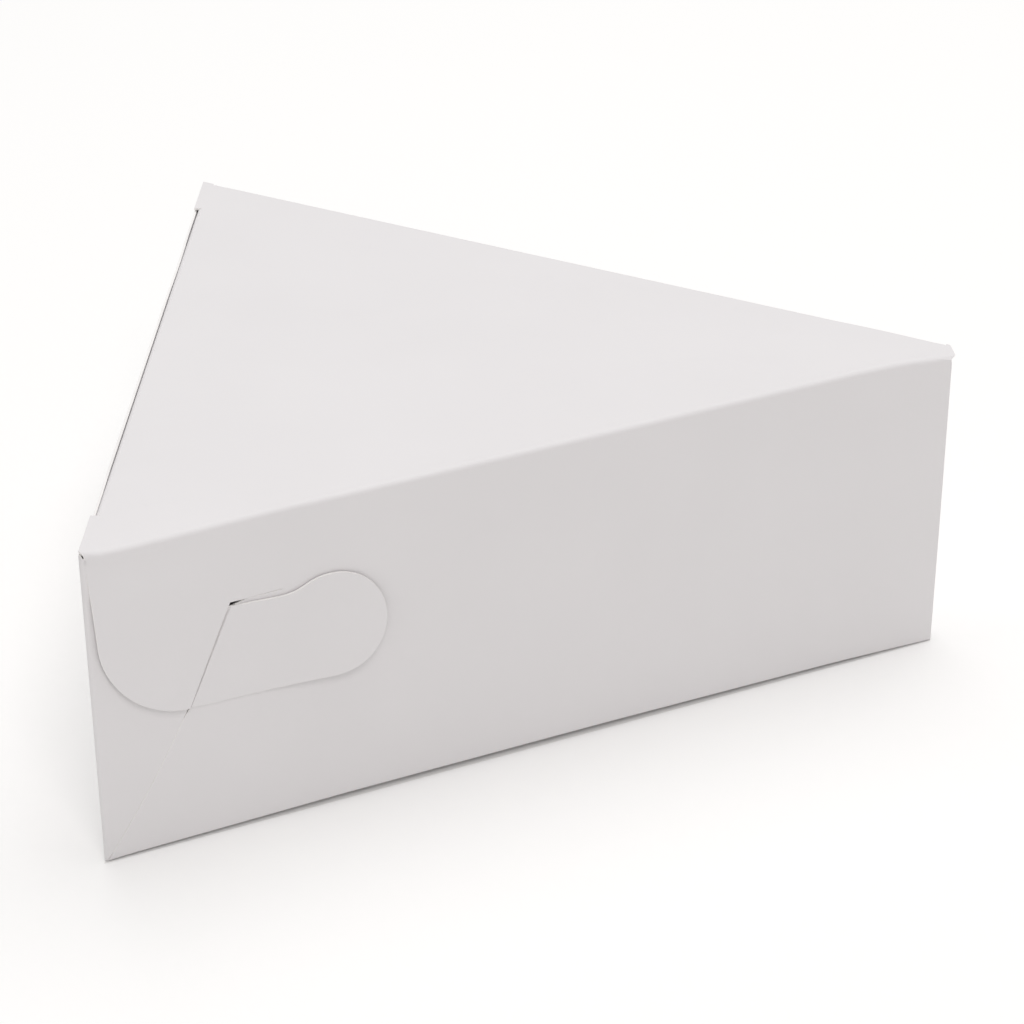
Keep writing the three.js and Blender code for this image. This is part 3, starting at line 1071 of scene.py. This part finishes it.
def math_node(tree, operation, first, second):
    """A shader value worked out from two others, each a number or another node's output."""
    node = tree.nodes.new("ShaderNodeMath")
    node.operation = operation
    for socket, value in zip(node.inputs, (first, second)):
        if isinstance(value, float):
            socket.default_value = value
        else:
            tree.links.new(value, socket)
    return node.outputs[0]


def outside_painted_shade(tree):
    """A shader value: 0 on the floor under the box, 1 elsewhere. Where it is 0 the floor gets no glow, so
    the floor under the box is painted shade that darkens the gap under the raised base.
    """
    position = tree.nodes.new("ShaderNodeNewGeometry").outputs["Position"]
    rear_inward = Vector((-math.sin(SIDE_ANGLE), -math.cos(SIDE_ANGLE)))
    sides = (
        (NEAR_CORNER, INWARD),
        (Vector((0.0, REAR_HALF_BACK)), rear_inward),
        (Vector((0.0, 0.0)), Vector((1.0, 0.0))),
        (Vector((DEPTH, 0.0)), Vector((-1.0, 0.0))),
    )
    inside = 1.0
    for corner, inward in sides:
        reach = tree.nodes.new("ShaderNodeVectorMath")
        reach.operation = "DOT_PRODUCT"
        reach.inputs[1].default_value = (inward.x, inward.y, 0.0)
        tree.links.new(position, reach.inputs[0])
        edge = (corner - Vector((CENTRE, 0.0))).dot(inward) * MM
        within = math_node(tree, "GREATER_THAN", reach.outputs["Value"], edge)
        inside = math_node(tree, "MULTIPLY", inside, within)
    return math_node(tree, "SUBTRACT", 1.0, inside)


def make_floor():
    """A floor that looks white from the camera, in glossy reflections and through clear things. Under the
    box it gets no glow, which paints shade into the gap under the base.
    """
    half = FLOOR_SIZE / 2
    mesh = bpy.data.meshes.new("floor")
    corners = [(-half, -half, 0), (half, -half, 0), (half, half, 0), (-half, half, 0)]
    mesh.from_pydata(corners, [], [(0, 1, 2, 3)])
    floor = bpy.data.objects.new("floor", mesh)
    floor.location.z = -FLOOR_DROP
    bpy.context.scene.collection.objects.link(floor)
    material = bpy.data.materials.new("floor")
    material.use_nodes = True
    tree = material.node_tree
    shader = tree.nodes["Principled BSDF"]
    shader.inputs["Base Color"].default_value = (*FLOOR_COLOUR, 1.0)
    shader.inputs["Roughness"].default_value = FLOOR_ROUGHNESS
    shader.inputs["Specular IOR Level"].default_value = 0.0
    shader.inputs["Emission Color"].default_value = (*WHITE, 1.0)
    path = tree.nodes.new("ShaderNodeLightPath").outputs
    seen = math_node(tree, "MAXIMUM", path["Is Camera Ray"], path["Is Glossy Ray"])
    seen = math_node(tree, "MAXIMUM", seen, path["Is Transmission Ray"])
    # No glow on the floor under the box: painted shade in the gap under its raised base
    open_floor = math_node(tree, "MULTIPLY", seen, outside_painted_shade(tree))
    glow = math_node(tree, "MULTIPLY", open_floor, FLOOR_GLOW)
    tree.links.new(glow, shader.inputs["Emission Strength"])
    mesh.materials.append(material)


def make_world():
    """Soft light from all round, with a white background for the camera."""
    world = bpy.data.worlds.new("studio")
    bpy.context.scene.world = world
    world.use_nodes = True
    nodes = world.node_tree.nodes
    links = world.node_tree.links
    light = nodes["Background"]
    light.inputs["Color"].default_value = (*WHITE, 1.0)
    light.inputs["Strength"].default_value = WORLD_LIGHT
    seen = nodes.new("ShaderNodeBackground")
    seen.inputs["Color"].default_value = (*WHITE, 1.0)
    path = nodes.new("ShaderNodeLightPath")
    mix = nodes.new("ShaderNodeMixShader")
    links.new(path.outputs["Is Camera Ray"], mix.inputs["Fac"])
    links.new(light.outputs["Background"], mix.inputs[1])
    links.new(seen.outputs["Background"], mix.inputs[2])
    links.new(mix.outputs["Shader"], nodes["World Output"].inputs["Surface"])


def make_lamp(name, place, aim, size, power, colour):
    data = bpy.data.lights.new(name, "AREA")
    data.shape = "SQUARE"
    data.size = size
    data.energy = power
    data.color = colour
    lamp = bpy.data.objects.new(name, data)
    lamp.location = place
    lamp.rotation_euler = (Vector(aim) - Vector(place)).to_track_quat("-Z", "Y").to_euler()
    bpy.context.scene.collection.objects.link(lamp)


def make_camera():
    right = Vector((math.cos(CAMERA_YAW), math.sin(CAMERA_YAW), 0.0))
    ahead = Vector((-math.sin(CAMERA_YAW), math.cos(CAMERA_YAW), 0.0))
    upright = Vector((0.0, 0.0, 1.0))
    view = ahead * math.cos(CAMERA_PITCH) - upright * math.sin(CAMERA_PITCH)
    top = ahead * math.sin(CAMERA_PITCH) + upright * math.cos(CAMERA_PITCH)
    rolled_right = right * math.cos(CAMERA_ROLL) + top * math.sin(CAMERA_ROLL)
    rolled_top = top * math.cos(CAMERA_ROLL) - right * math.sin(CAMERA_ROLL)
    data = bpy.data.cameras.new("camera")
    data.sensor_width = SENSOR
    data.lens = FOCAL_PIXELS / IMAGE_PIXELS * SENSOR
    data.clip_start = CLIP_START
    camera = bpy.data.objects.new("camera", data)
    turn = Matrix((rolled_right, rolled_top, -view)).transposed().to_4x4()
    place = Vector(CAMERA_PLACE) - Vector((CENTRE, 0.0, 0.0))
    camera.matrix_world = Matrix.Translation(place * MM) @ turn
    bpy.context.scene.collection.objects.link(camera)
    bpy.context.scene.camera = camera


make_tray()
make_lid()
make_tuck_flap()
make_side_flap()
make_floor()
make_world()
make_lamp("overhead", KEY_PLACE, KEY_AIM, KEY_SIZE, KEY_POWER, WHITE)
make_lamp("front", FILL_PLACE, FILL_AIM, FILL_SIZE, FILL_POWER, FILL_COLOUR)
make_camera()
bpy.context.scene.view_settings.view_transform = "Standard"
